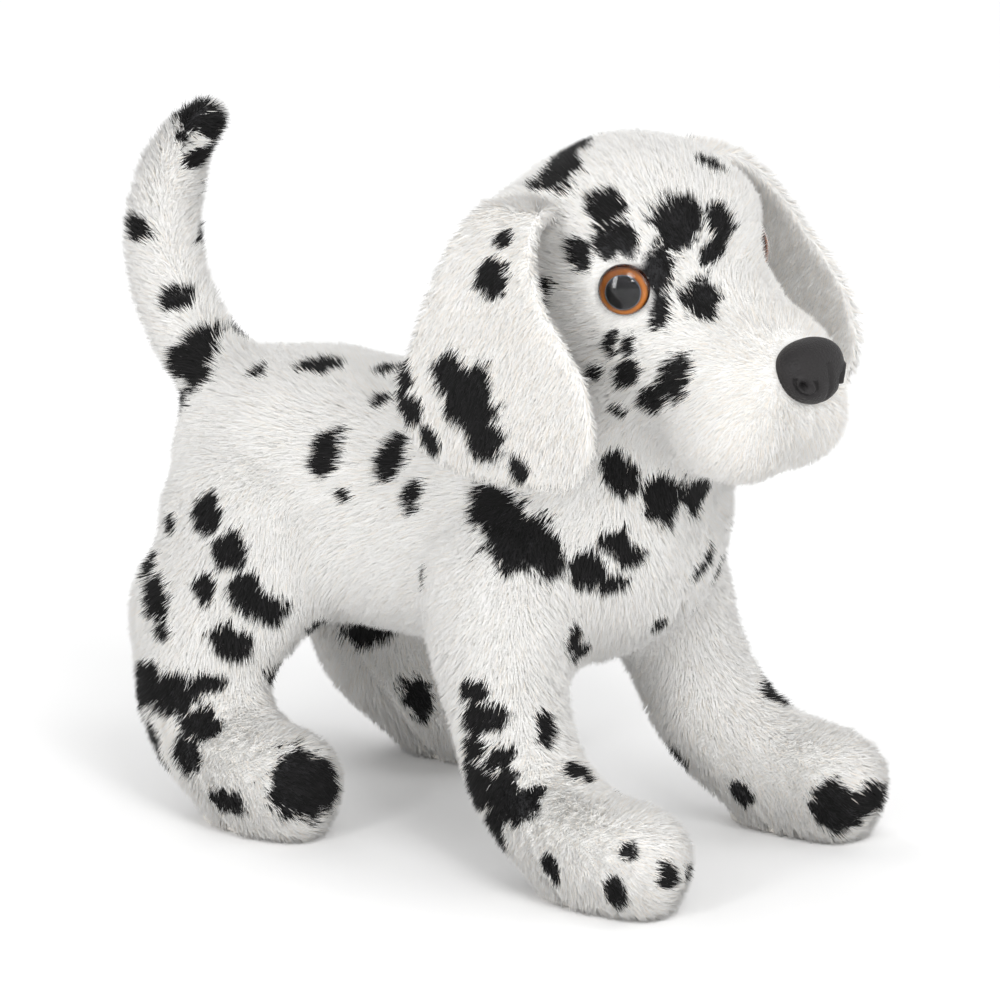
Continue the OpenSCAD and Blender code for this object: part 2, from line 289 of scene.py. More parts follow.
for leg in LEGS:
    form = outside_of(leg + "_skin", leg + " form")
    co = corners(form.data)
    co[co[:, 2] < 3.7 * MM, 2] = -3.6 * MM          # the paw's flat underside, before the skin is set in
    put(form.data, co)
    parts[leg] = [form]

def lump(name, place, size, turn=0.0):
    """A rounded lump of stuffing that fills out a form."""
    work = bmesh.new()
    bmesh.ops.create_icosphere(work, subdivisions=4, radius=1)
    mesh = bpy.data.meshes.new(name)
    work.to_mesh(mesh)
    work.free()
    mesh.transform(Matrix.Translation([c * MM for c in place]) @ Matrix.Rotation(turn, 4, "X")
                   @ Matrix.Diagonal([*(c * MM for c in size), 1]))
    thing = bpy.data.objects.new(name, mesh)
    bpy.context.scene.collection.objects.link(thing)
    return thing

for side in (-1, 1):
    parts["head"].append(lump("lip", (side * 17, jaw.y + 34.4, jaw.z + 24), (27, 31, 28)))       # the full upper lips
    parts["head"].append(lump("cheek", (side * 33, EYES["left"].y + 9, EYES["left"].z - 31), (22, 28, 30)))
    parts["head"].append(lump("brow", (side * 24, EYES["left"].y + 1, EYES["left"].z + 18), (22, 18, 18)))
parts["head"].append(lump("chin", (0, jaw.y + 45.4, jaw.z + 8), (24, 26, 14)))
parts["head"].append(lump("nose bed", (0, NOSE.y + 14, NOSE.z), (23, 16, 20)))
for side in EYES:
    ear_bed = JOINTS["ear_" + side] - Vector((7 if side == "left" else -7, 0, 3))
    parts["head"].append(lump("ear bed", ear_bed, (14, 34, 15)))
    parts["head"].append(lump("eye bed", EYES[side] - EYE_OUT[side] * 12, (13.5, 13.5, 13.5)))
for side, name in ((1, "leg_hind_left"), (-1, "leg_hind_right")):
    parts[name].append(lump("thigh", JOINTS[name] + Vector((side * -4, 8, -12)), (29, 42, 46)))
    parts[name].append(lump("haunch", JOINTS[name] + Vector((side * 4, 22, -50)), (28, 37.5, 42)))
for side, name in ((1, "leg_front_left"), (-1, "leg_front_right")):
    parts[name].append(lump("shoulder", JOINTS[name] + Vector((side * -7, -2, 1)), (28, 36, 38)))

owners, owner_points = [], []
for body, things in parts.items():
    for thing in things:
        co = corners(thing.data)
        owner_points.append(co)
        owners += [body] * len(co)
owner_points = np.concatenate(owner_points)
BODIES = list(parts)

VOXEL = 3.2
skin = joined("skin", [swell(t, 0.8) for things in parts.values() for t in things])
CLOSE = 7
shaped(skin, ("REMESH", {"mode": "VOXEL", "voxel_size": VOXEL * MM}))
swell(skin, CLOSE)
shaped(skin, ("REMESH", {"mode": "VOXEL", "voxel_size": VOXEL * MM}), ("SMOOTH", {"factor": 0.5, "iterations": 6}))
for step in range(4):
    swell(skin, -(CLOSE + 0.8 + PILE_DEPTH) / 4)
    shaped(skin, ("REMESH", {"mode": "VOXEL", "voxel_size": VOXEL * MM}), ("SMOOTH", {"factor": 0.5, "iterations": 2}))
co = corners(skin.data)
for side in (-1, 1):
    hollow = EYES["left" if side > 0 else "right"] + Vector((side * -11, -16, 5))       # just before the eye
    gap = np.linalg.norm(co / MM - np.array(hollow), axis=1)
    co -= normals(skin.data) * (8 * MM * np.exp(-(gap / 14) ** 2))[:, None]
x, y, z = co.T / MM
# the stop, where the brow meets the muzzle
stop = np.exp(-((y - jaw.y - 35.4) / 16) ** 2) * np.clip((z - NOSE.z - 4.5) / 22, 0, 1) * np.exp(-(x / 46) ** 4)
co -= normals(skin.data) * (15 * MM * stop)[:, None]
put(skin.data, co)
shaped(skin, ("SMOOTH", {"factor": 0.5, "iterations": 2}))
co = corners(skin.data)
skin.data.shade_smooth()
print("skin corners:", len(co), "lowest mm", round(co[:, 2].min() / MM, 1), "highest", round(co[:, 2].max() / MM, 1))

# %% [markdown]
# ## Ears
# An ear is a padded flap: an outer panel and a softer lining sewn along their rim. The frame's two
# panels are melted into one flap and set in, so that its pile ends where the frame's surface is.

# %% Ear flaps
ears = {}
for side in ("left", "right"):
    flap = joined(f"ear_{side}_flap", [outside_of(f"ear_{side}_{panel}", panel) for panel in ("outer", "lining")])
    fine = 1.5
    shaped(flap, ("REMESH", {"mode": "VOXEL", "voxel_size": fine * MM}))
    swell(flap, 3)
    shaped(flap, ("REMESH", {"mode": "VOXEL", "voxel_size": fine * MM}), ("SMOOTH", {"factor": 0.5, "iterations": 5}))
    for step in range(4):
        swell(flap, -(3 + 3.4) / 4)
        shaped(flap, ("REMESH", {"mode": "VOXEL", "voxel_size": fine * MM}), ("SMOOTH", {"factor": 0.5, "iterations": 2}))
    co = corners(flap.data) / MM
    root = np.clip((np.abs(co[:, 0]) - 50) / 16, 0, 1)
    root_y = JOINTS["ear_" + side].y
    full_ = 1 + np.where(co[:, 1] < root_y, 0.13, 0.02) * np.clip((255 - co[:, 2]) / 25, 0, 1)
    co[:, 1] = root_y + (co[:, 1] - root_y) * (0.74 + 0.26 * root) * full_
    co[:, 0] -= np.sign(co[:, 0]) * 1.1 * np.clip(56 - np.abs(co[:, 0]), 0, 9)       # the root runs into the head
    put(flap.data, co * MM)
    flap.data.shade_smooth()
    ears[side] = flap
    print(side, "ear flap corners:", len(flap.data.vertices))

# %% [markdown]
# ## Which part of the skin belongs to which body
# Every corner of the skin goes with the frame form it lies nearest to. Later each body's share becomes its own piece.

# %% Share the skin out
tree = KDTree(len(owner_points))
for i, p in enumerate(owner_points):
    tree.insert(p, i)
tree.balance()
where = corners(skin.data)
facing = normals(skin.data)
owner = np.array([BODIES.index(owners[tree.find(Vector(p + n * PILE_DEPTH * MM))[1]])
                  for p, n in zip(where, facing)])
print({body: int((owner == i).sum()) for i, body in enumerate(BODIES)})

# %% [markdown]
# ## The way the pile lies
# Pile is combed: back from the nose, down the cheeks and chest, along the back to the tail, down each
# leg and out along the paws. One direction per corner, averaged with its neighbours, gives a smooth lie.

# %% Combing directions
def combed(p, body):
    """Directions for points p, in mm, of one body."""
    down = np.array([0, 0, -1.0])
    if body == "head":
        away = unit(p - np.array([0, nose_low.y, NOSE.z + 2.5]))
        d = away + 0.5 * down * np.clip((262 - p[:, 2:3]) / 60, 0, 1)
        for eye in EYES.values():
            gap = p - np.array(eye)
            near = np.exp(-(np.linalg.norm(gap, axis=1, keepdims=True) / 17) ** 2)
            d = d + 2.2 * near * unit(gap)
        return d
    if body == "tail":
        middle = np.array(JOINTS["tail"] + Vector((0, 10, 75)))
        return np.cross(np.array([1.0, 0, 0]), p - middle) * np.array([0, 1, 1]) + 0 * p
    if body.startswith("leg"):
        paw = 1.0 if "front" in body else np.clip((98 - p[:, 1:2]) / 20, 0, 1)
        toes = np.clip((52 - p[:, 2:3]) / 22, 0, 1) * paw
        return down * (1 - 0.8 * toes) + np.array([0, -1.4, -0.1]) * toes
    if body.startswith("ear"):
        return down + 0.35 * unit(p * np.array([1, 0, 0])) + 0 * p
    chest = np.clip((-60 - p[:, 1:2]) / 40, 0, 1)
    return np.array([0, 0.9, -0.55]) * (1 - chest) + down * chest

def averaged(mesh, field, times):
    pairs = np.empty(len(mesh.edges) * 2, np.int32)
    mesh.edges.foreach_get("vertices", pairs)
    a, b = pairs.reshape(-1, 2).T
    for _ in range(times):
        total = field.copy()
        for k in range(3):
            total[:, k] += np.bincount(a, field[b, k], len(field)) + np.bincount(b, field[a, k], len(field))
        field = unit(total)
    return field

lie = np.zeros_like(where)
for i, body in enumerate(BODIES):
    lie[owner == i] = unit(combed(where[owner == i] / MM, body))
lie = averaged(skin.data, lie, 10)

# %% [markdown]
# ## Spots
# Printed pile carries its colour down each tuft, so a spot is a choice: tufts rooted inside it are
# black. Each spot is an oval lying on the surface: where it sits, its half sizes across and up, and
# its slant. A little waviness and a loose edge keep it from looking stamped.

# %% Spot layout on the side seen first
# Each row: across, along and height as shares of the piece's own box, a size, how much taller than
# wide it is, and a slant in degrees. Across runs from -1 on the dog's right to 1 on its left, along
# from 0 at the nose end to 1 at the tail end, height from 0 at the bottom to 1 at the top.
DOT, SMALL, MIDDLE, LARGE, HUGE = 4.0, 6.0, 8.5, 11.0, 14.5       # half sizes in mm
SPOTS = {
    "head_skin": [
        (-0.55, 0.70, 0.86, LARGE, 1, 0), (-0.35, 0.75, 0.95, LARGE, 0.8, 0), (-0.1, 0.8, 1, LARGE, 0.8, 0),
        (-0.75, 0.5, 0.85, MIDDLE, 1, 40), (-0.8, 0.45, 0.75, MIDDLE, 0.7, 10), (-0.9, 0.55, 0.7, SMALL, 1.2, 0),
        (-0.45, 0.35, 0.8, LARGE, 1, 10), (-0.1, 0.25, 0.8, MIDDLE, 1, 0), (-0.2, 0.25, 0.7, SMALL, 0.6, 20),
        (-0.45, 0.25, 0.6, MIDDLE, 1, 30), (-0.65, 0.35, 0.65, MIDDLE, 1.4, 0), (-0.7, 0.35, 0.55, SMALL, 1.4, 0),
        (-0.85, 0.45, 0.45, DOT, 1.8, 0), (-0.8, 0.4, 0.45, DOT, 1.8, 0), (-0.85, 0.4, 0.35, SMALL, 1.5, -30),
        (-0.75, 0.3, 0.35, MIDDLE, 1.5, -15), (-0.8, 0.35, 0.25, SMALL, 1.2, -20), (-0.85, 0.5, 0.35, DOT, 1.2, 0),
        (-0.75, 0.45, 0.2, DOT, 1, 0), (-1, 0.65, 0.55, SMALL, 1.5, -35), (0.2, 0.4, 0.95, SMALL, 1.1, 0)],
    "ear_right_outer": [
        (-1, 0.55, 0.35, HUGE, 1, 0), (-1, 0.65, 0.4, LARGE, 1, 0), (-1, 0.5, 0.2, LARGE, 1, 10),
        (-1, 0.95, 0.4, SMALL, 1, 20), (-1, 0.9, 0.25, MIDDLE, 1, 0), (-1, 0.8, 0.15, SMALL, 1.2, 0),
        (-1, 0.35, 0.1, SMALL, 1.2, 0), (-0.85, 0.5, 0.8, MIDDLE, 0.8, 0), (-0.6, 0.5, 0.95, DOT, 1, 0)],
    "tail_skin": [
        (0, 0.3, 0.95, SMALL, 1.5, 0), (0, 0.3, 0.85, SMALL, 1.5, 0), (-0.2, 0.35, 0.75, SMALL, 1.2, 0),
        (-1, 0.75, 0.55, SMALL, 0.9, 0), (-1, 0.45, 0.4, SMALL, 1, 20), (-1, 0.3, 0.3, MIDDLE, 1, -30),
        (-1, 0.25, 0.2, MIDDLE, 1, -20), (-1, 0.35, 0.1, MIDDLE, 0.7, 20), (1, 0.6, 0.65, SMALL, 1, 0),
        (1, 0.7, 0.4, SMALL, 1.2, 0)],
    "torso_skin": [
        (-0.4, 0.8, 0.9, DOT, 0.8, 20), (-0.25, 0.7, 1, MIDDLE, 0.7, 20), (0, 0.6, 1, SMALL, 0.6, 0),
        (-0.3, 0.97, 0.85, MIDDLE, 0.7, 0), (-0.5, 0.55, 0.95, DOT, 1, 0), (-0.9, 0.6, 0.75, MIDDLE, 1.3, -10),
        (-1, 0.55, 0.6, DOT, 1, 0), (-0.9, 0.48, 0.8, MIDDLE, 1.4, -10), (-1, 0.42, 0.65, SMALL, 1.3, 0),
        (-1, 0.38, 0.4, DOT, 1.4, 0), (-1, 0.2, 0.6, HUGE, 0.9, 0), (-1, 0.25, 0.7, LARGE, 0.9, 0),
        (-1, 0.15, 0.55, LARGE, 1, 0), (-0.7, 0.05, 0.85, MIDDLE, 1.4, 10), (-0.4, 0, 0.75, LARGE, 1.3, 0),
        (-0.1, 0, 0.75, MIDDLE, 1.6, 10), (-0.75, 0.05, 0.6, SMALL, 0.8, 0), (-0.6, 0.05, 0.55, SMALL, 0.8, 0),
        (-0.85, 0.1, 0.5, MIDDLE, 1, 0), (-0.7, 0.08, 0.45, SMALL, 0.7, 0), (-0.75, 0.15, 0.25, SMALL, 1.4, 0),
        (-0.6, 0.12, 0.15, SMALL, 0.7, 0), (-0.15, 0.06, 0.25, DOT, 1.4, 20), (0.15, 0, 0.45, SMALL, 2, -40),
        (0.5, 0.05, 0.4, SMALL, 1.3, 0), (-0.7, 0.65, 0.1, SMALL, 0.7, 0)],
    "leg_hind_right_skin": [
        (-0.5, 0.6, 0.85, MIDDLE, 1, 10), (-0.5, 0.5, 0.75, MIDDLE, 1, 20), (-0.5, 0.4, 0.65, MIDDLE, 1, 20),
        (-0.5, 0.3, 0.6, MIDDLE, 0.8, 10), (-0.6, 0.6, 0.65, SMALL, 1.4, 0), (-0.6, 0.45, 0.5, MIDDLE, 0.8, 0),
        (-0.6, 0.85, 0.6, MIDDLE, 1, -20), (-0.6, 0.75, 0.5, DOT, 1, 0), (-0.4, 0.95, 0.7, SMALL, 1.2, 0),
        (-0.5, 0.85, 0.8, DOT, 1, 0), (-0.7, 0.5, 0.4, SMALL, 0.6, 0), (-0.6, 0.85, 0.35, LARGE, 0.8, 0),
        (-0.8, 0.7, 0.35, LARGE, 0.8, 0), (-0.8, 0.55, 0.3, MIDDLE, 0.9, 0), (-0.4, 1, 0.25, MIDDLE, 1.4, 0),
        (-0.8, 0.85, 0.2, SMALL, 1.5, 10), (-1, 0.6, 0.2, MIDDLE, 1, 30), (-0.7, 0.85, 0.1, SMALL, 1.5, 0),
        (-0.7, 0.05, 0.15, HUGE, 1.1, 10), (-0.3, 0.05, 0.15, LARGE, 1.2, 0), (-1, 0.4, 0.06, MIDDLE, 0.5, 0)],
    "leg_hind_left_skin": [
        (-0.9, 0.6, 0.35, MIDDLE, 0.6, 20), (-0.9, 0.4, 0.2, MIDDLE, 1.3, 30), (0.6, 0.4, 0.7, MIDDLE, 0.9, 0),
        (0.6, 0.6, 0.55, SMALL, 1.3, 20), (0.9, 0.1, 0.12, LARGE, 1, 0)],
    "leg_front_right_skin": [
        (-0.8, 0.7, 0.55, SMALL, 0.7, 10), (-0.8, 0.65, 0.5, MIDDLE, 0.6, 10), (-0.8, 0.6, 0.4, SMALL, 0.8, 30),
        (-0.8, 0.7, 0.4, SMALL, 0.8, 0), (-0.8, 0.7, 0.3, LARGE, 1, 0), (-0.8, 0.6, 0.28, LARGE, 1, 20),
        (-0.8, 0.5, 0.28, MIDDLE, 0.9, 30), (-0.8, 0.65, 0.15, MIDDLE, 1.3, 0), (-0.1, 0.45, 0.5, SMALL, 2, -10),
        (0, 0.4, 0.4, SMALL, 1.5, -20), (-1, 0.4, 0.1, SMALL, 1.2, 0), (-0.9, 0.15, 0.06, SMALL, 1.3, 0),
        (-0.5, 0, 0.12, SMALL, 1.4, 0), (0.1, 0, 0.12, DOT, 1.4, 0), (-0.9, 0.12, 0.22, DOT, 1.2, 0)],
    "leg_front_left_skin": [
        (0.5, 0.4, 0.4, MIDDLE, 1.1, 20), (-0.4, 0.05, 0.08, LARGE, 1, 20), (0.1, 0, 0.1, MIDDLE, 1, 0),
        (0.5, 0.02, 0.12, SMALL, 1.2, 0), (-0.7, 0.4, 0.06, SMALL, 1.2, 0), (0.8, 0.6, 0.6, MIDDLE, 1, 0)]}

def laid(node):
    """Turns the rows of one node into places and half sizes in mm."""
    low, high = (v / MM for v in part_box(node))
    middle, reach = (low + high) / 2, (high - low) / 2
    return [(middle.x + across * reach.x, low.y + along * 2 * reach.y, low.z + height * 2 * reach.z,
             size / math.sqrt(tall), size * math.sqrt(tall), slant)
            for across, along, height, size, tall, slant in SPOTS[node]]

def waves(p, size, seed):
    """Smooth waviness between -1 and 1, as sums of tilted sine waves."""
    pick = np.random.default_rng(seed)
    out = np.zeros(len(p))
    for _ in range(6):
        way = unit(pick.normal(size=3))
        out += np.sin(p @ way * (2 * math.pi / (size * pick.uniform(0.7, 1.4))) + pick.uniform(0, 6.28))
    return out / 3.2

def settle(spots, at, out_):
    """Sets each spot on the nearest corner of a surface and gives it its own directions."""
    ready = []
    for x, y, z, across, up, slant in spots:
        d = at - np.array([x, y, z])
        i = np.argmin((d ** 2).sum(1))
        n = out_[i]
        t = np.cross([0, 0, 1.0], n)
        t = np.array([1.0, 0, 0]) if np.linalg.norm(t) < 0.15 else t / np.linalg.norm(t)
        b, q = np.cross(n, t), math.radians(slant)
        ready.append((at[i], n, t * math.cos(q) + b * math.sin(q), b * math.cos(q) - t * math.sin(q), across, up))
    return ready

def oval_spots(p, ready):
    """How far outside the nearest spot each point is: under 1 is inside."""
    best = np.full(len(p), 9.0)
    lo, hi = p.min(0) - 25, p.max(0) + 25
    for c, n, t, b, across, up in ready:
        if (c > lo).all() and (c < hi).all():
            d = p - c
            deep = np.maximum(np.abs(d @ n) - 10, 0) / 5
            best = np.minimum(best, np.sqrt((d @ t / across) ** 2 + (d @ b / up) ** 2 + deep ** 2))
    return best

def scattered(at, out_, count, seed, allow):
    """More spots for the side not seen first, kept apart from each other."""
    pick = np.random.default_rng(seed)
    spots, tries = [], 0
    choice = np.nonzero(allow)[0]
    while len(spots) < count and tries < 4000 and len(choice):
        tries += 1
        c = at[choice[pick.integers(len(choice))]]
        if all(np.linalg.norm(c - np.array(s[:3])) > 19 for s in spots):
            spots.append((*c, pick.uniform(4, 10), pick.uniform(4, 9), pick.uniform(-40, 40)))
    return spots

at_mm, away_side = where / MM, facing @ np.array(sight)
layout = [spot for node in SPOTS if not node.startswith("ear") for spot in laid(node)]
clear = np.ones(len(at_mm), bool)
for spot in layout:
    clear &= np.linalg.norm(at_mm - np.array(spot[:3]), axis=1) > 17
clear &= (away_side > 0.10) & ~((at_mm[:, 1] < -135) & (at_mm[:, 2] > 150)) & (at_mm[:, 2] > 12)
layout += scattered(at_mm, facing, 95, 43, clear)
spots_of = {"skin": settle(layout, at_mm, facing)}
for side, s in (("left", 1), ("right", -1)):
    co, no = corners(ears[side].data) / MM, normals(ears[side].data)
    if side == "left":
        spots = scattered(co, no, 7, 71, (no[:, 0] > 0.5) & (co[:, 1] > -88))
    else:
        spots = laid("ear_right_outer")
    spots_of["ear_" + side] = settle(spots, co, no)
print("spots:", {k: len(v) for k, v in spots_of.items()})

def spotted(p, body):
    edge = oval_spots(p, spots_of.get(body, spots_of["skin"]))
    return edge + 0.17 * waves(p, 13, 5) + 0.10 * waves(p, 5, 6)

# %% [markdown]
# ## Finishes
# A shader is written here as ordinary arithmetic. `Wire` wraps one output, so `a * 2 + b` builds the
# matching Math nodes, and `Finish.add` makes any other node from its type, settings and inputs.

# %% A small shader kit
class Wire:
    def __init__(self, finish, socket):
        self.finish, self.socket = finish, socket

    def _math(self, operation, *values):
        return self.finish.add("ShaderNodeMath", {"operation": operation}, dict(enumerate(values)))

    def __add__(self, other): return self._math("ADD", self, other)
    __radd__ = __add__
    def __sub__(self, other): return self._math("SUBTRACT", self, other)
    def __rsub__(self, other): return self._math("SUBTRACT", other, self)
    def __mul__(self, other): return self._math("MULTIPLY", self, other)
    __rmul__ = __mul__
    def __truediv__(self, other): return self._math("DIVIDE", self, other)
    def __rtruediv__(self, other): return self._math("DIVIDE", other, self)
    def __gt__(self, other): return self._math("GREATER_THAN", self, other)
    def __lt__(self, other): return self._math("LESS_THAN", self, other)
    def power(self, other): return self._math("POWER", self, other)


class Finish:
    def __init__(self, name, **uniform):
        self.material = bpy.data.materials.new(name)
        self.material.use_nodes = True
        self.nodes, self.links = self.material.node_tree.nodes, self.material.node_tree.links
        self.surface = self.nodes["Principled BSDF"]
        for key, value in uniform.items():
            self.surface.inputs[key.replace("_", " ").title().replace("Ior", "IOR")].default_value = value

    def add(self, kind, settings=None, inputs=None, output=0):
        node = self.nodes.new(kind)
        for key, value in (settings or {}).items():
            setattr(node, key, value)
        for key, value in (inputs or {}).items():
            self.join(value, node.inputs[key])
        return Wire(self, node.outputs[output])

    def join(self, value, socket):
        if isinstance(value, Wire):
            self.links.new(value.socket, socket)
        else:
            socket.default_value = value

    def mix(self, amount, a, b):
        return self.add("ShaderNodeMix", {"data_type": "RGBA"}, {0: amount, 6: a, 7: b}, 2)

    def place(self):
        return self.add("ShaderNodeTexCoord", output="Object")

    def noise(self, scale, detail=4.0, vector=None):
        return self.add("ShaderNodeTexNoise", {},
                        {"Vector": vector or self.place(), "Scale": scale, "Detail": detail})

    def set(self, **wires):
        for key, value in wires.items():
            self.join(value, self.surface.inputs[key.replace("_", " ").title()])
        return self

    def bump(self, height, strength, distance):
        return self.add("ShaderNodeBump", {}, {"Height": height, "Strength": strength, "Distance": distance})

# %% [markdown]
# ### Cloth, pile, moulded parts
# The knitted backing shows only where the pile parts. Pile tufts come in a few close tints, because a
# real pile is never one white. Each tuft tint is a plain soft finish with a velvety sheen.

# %% Make the finishes
def knitted(name, light, dark):
    f = Finish(name, roughness=0.9, sheen_weight=0.25)
    spot = f.add("ShaderNodeAttribute", {"attribute_name": "spot"}, output="Fac")
    cloth = f.mix(f.noise(140.0), (*light, 1), (*[c * 0.93 for c in light], 1))
    f.set(base_color=f.mix(spot, cloth, (*dark, 1)))
    x = f.add("ShaderNodeTexWave", {"wave_type": "BANDS", "bands_direction": "DIAGONAL"},
              {"Vector": f.place(), "Scale": 260.0, "Distortion": 1.5})
    return f.set(normal=f.bump(x + f.noise(900.0), 0.4, 0.0006)).material

def tuft(name, tone, sheen=0.35):
    return Finish(name, base_color=(*tone, 1), roughness=0.8, specular_ior_level=0.25, sheen_weight=sheen).material

WHITES = [tuft("pile_white", (0.95, 0.94, 0.915)), tuft("pile_milk", (0.93, 0.918, 0.885)),
          tuft("pile_snow", (0.965, 0.96, 0.945)),
          tuft("pile_cream", (0.945, 0.895, 0.825))]
BLACKS = [tuft("pile_black", (0.008, 0.008, 0.008), 0.04), tuft("pile_soot", (0.018, 0.017, 0.018), 0.06)]
backing = knitted("backing", (0.86, 0.85, 0.83), (0.02, 0.02, 0.022))
sole_cloth = knitted("sole_cloth", (0.84, 0.80, 0.74), (0.02, 0.02, 0.022))
print("tuft tints:", len(WHITES) + len(BLACKS))

# %% [markdown]
# ## Cutting the skin into bodies
# Each piece keeps its own share of the skin and a tucked rim that runs on beneath its neighbours. The rim sinks as it
# goes, like a seam allowance.

# %% Skin pieces
RIM = 4
def neighbours(mesh, chosen):
    pairs = np.empty(len(mesh.edges) * 2, np.int32)
    mesh.edges.foreach_get("vertices", pairs)
    a, b = pairs.reshape(-1, 2).T
    grown = chosen.copy()
    grown[a[chosen[b]]] = True
    grown[b[chosen[a]]] = True
    return grown

def share(body):
    chosen = owner == BODIES.index(body)
    depth = np.zeros(len(owner))
    for ring in range(1, RIM + 1):
        wider = neighbours(skin.data, chosen)
        depth[wider & ~chosen] = 1.3 * ring
        chosen = wider
    faces = [p.vertices[:] for p in skin.data.polygons if all(chosen[v] for v in p.vertices)]
    used = np.unique(np.concatenate([np.array(f) for f in faces]))
    number = {int(v): i for i, v in enumerate(used)}
    co = where[used] - facing[used] * (depth[used, None] * MM)
    return make("skin_" + body, co, [[number[int(v)] for v in f] for f in faces])

def mark_spots(thing, body):
    value = np.clip((1.06 - spotted(corners(thing.data) / MM, body)) * 6, 0, 1)
    layer = thing.data.attributes.new("spot", "FLOAT", "POINT")
    layer.data.foreach_set("value", value.astype(np.float32))
    thing.data.materials.append(backing)

skins = {body: share(body) for body in BODIES}
for side, flap in ears.items():
    flap.name = "skin_ear_" + side
    skins["ear_" + side] = flap
for body, thing in skins.items():
    mark_spots(thing, body)

# %% [markdown]
# ## Growing the pile
# A tuft is a thin three-sided spike. Its root is scattered evenly over the skin, it leans with the
# comb direction, tufts in one small patch lean and gather alike, and its length follows the part of
# the body: short on the muzzle, long on the back. Shading follows the skin, so light rolls softly.

# %% Tuft sizes over the body
def pile_length(p, body, n):
    length = np.full(len(p), {"head": 6.6, "torso": 7.4, "tail": 7.4}.get(body, 7.0))
    if body == "head":
        length -= 1.2 * np.clip((-122 - p[:, 1]) / 25, 0, 1)
        for side in EYES:
            gap = p - np.array(EYES[side])
            out = np.array(EYE_OUT[side])
            off = np.linalg.norm(gap - np.outer(gap @ out, out), axis=1)
            near = np.linalg.norm(gap, axis=1) < 30
            length *= np.where(near, np.clip((off - 8.5) / 13, 0.30, 1), 1)
            length[near & (off < 9.6)] = 0
        front = p[:, 1] < -150
        off = np.sqrt((p[:, 0] / 17.0) ** 2 + ((p[:, 2] - NOSE.z) / 13.5) ** 2)
        length *= np.where(front, np.clip((off - 0.8) / 0.5, 0.35, 1), 1)
        length[front & (off < 0.90)] = 0
    if body.startswith("leg"):
        length -= 1.2 * np.clip((50 - p[:, 2]) / 30, 0, 1)
        length[p[:, 2] < 2.2] *= 0.45
    if body.startswith("ear"):
        inside = n[:, 0] * np.sign(p[:, 0]) < -0.2
        length = np.where(inside, 4.4, 6.0)
    return length

def seam_gap(p, body):
    """Distance in mm to the nearest sewn seam: the pile is caught short along it."""
    gap = np.full(len(p), 99.0)
    if body.startswith("leg_front"):
        gap = np.abs((p - np.array([0, -95, 34])) @ unit(np.array([0, 0.86, -0.5])))
        gap[(p[:, 2] > 60) | (p[:, 1] > -60)] = 99
    elif body.startswith("leg_hind"):
        gap = np.abs((p - np.array([0, 84, 34])) @ unit(np.array([0, 0.86, -0.5])))
        gap[(p[:, 2] > 60) | (p[:, 1] > 110)] = 99
    elif body == "torso":
        gap = np.abs(p[:, 0])
        gap[p[:, 2] > 120] = 99
    elif body == "head":
        gap = np.where((p[:, 1] < -166) & (p[:, 2] < 212) & (p[:, 2] > 182), np.abs(p[:, 0]), 99)
    return gap

